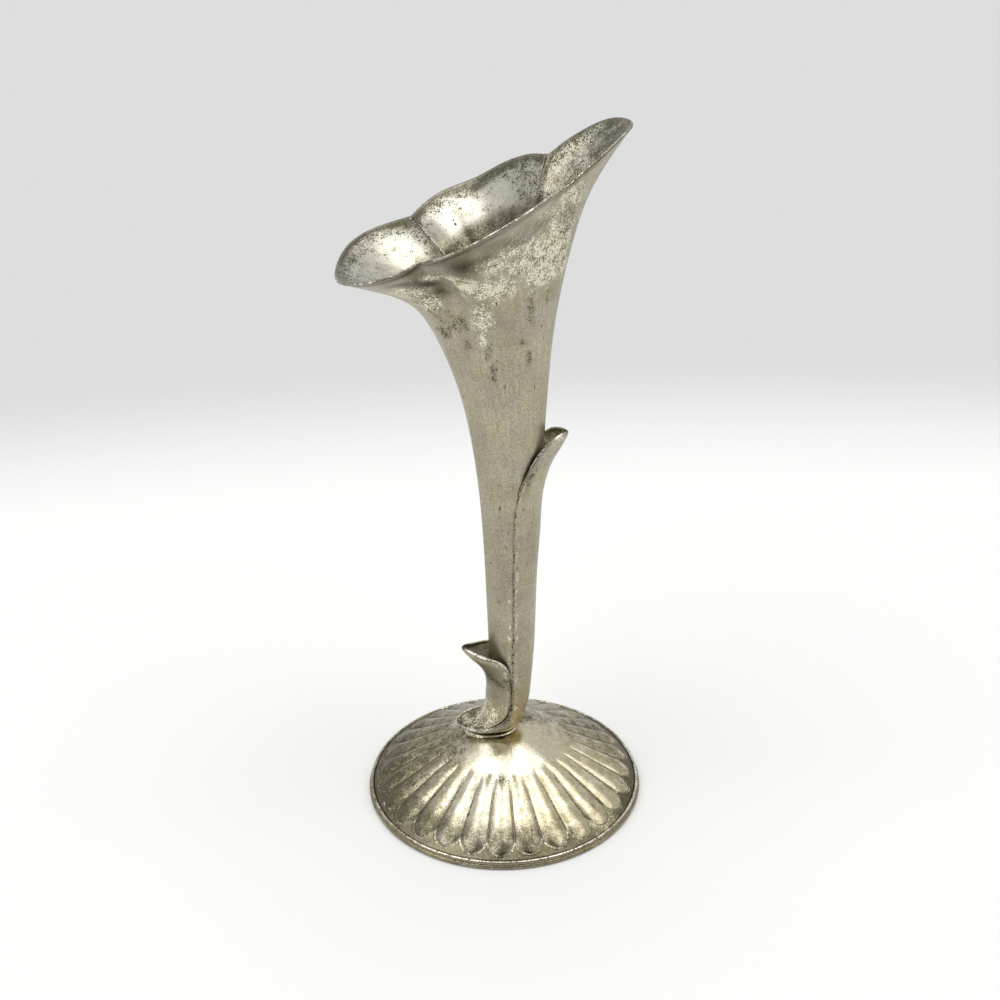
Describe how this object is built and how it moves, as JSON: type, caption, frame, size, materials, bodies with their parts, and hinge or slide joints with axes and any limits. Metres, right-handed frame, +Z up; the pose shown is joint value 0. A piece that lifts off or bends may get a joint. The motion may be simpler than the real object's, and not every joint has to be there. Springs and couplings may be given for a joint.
{
  "type": "trumpet vase",
  "caption": "Lily-shaped silver-plate bud vase: slender tube with a slanted lobed mouth, sheath leaves on the stalk and a domed, fluted round foot.",
  "frame": {"origin": "centre of the foot's underside, on the surface that the vase stands on", "axes": "+Z up along the foot's axis, +X towards the tall lobe of the mouth, -Y towards the viewer of the picture"},
  "size_m": [0.08, 0.08, 0.1908],
  "materials": {
    "trumpet_plate": "worn satin silver plate over brass, warm grey with brown tarnish",
    "leaf_plate": "worn satin silver plate over brass, dark in the seams",
    "foot_plate": "worn silver plate over brass, yellow and olive tarnish",
    "rim_plate": "worn silver plate over brass, rubbed bright on its beads",
    "solder": "soft solder, plated over, bright on its edge",
    "plug_brass": "bare brass, turned",
    "washer_brass": "bare brass, stamped",
    "fixing_steel": "bare steel, dull"
  },
  "bodies": {
    "root": {"trumpet": "trumpet_plate", "long_leaf": "leaf_plate", "lower_leaf": "leaf_plate", "root_leaf": "leaf_plate", "stem_collar": "solder", "foot": "foot_plate", "foot_rim": "rim_plate", "stem_plug": "plug_brass", "stud": "fixing_steel", "washer": "washer_brass", "nut": "fixing_steel"}
  },
  "joints": []
}
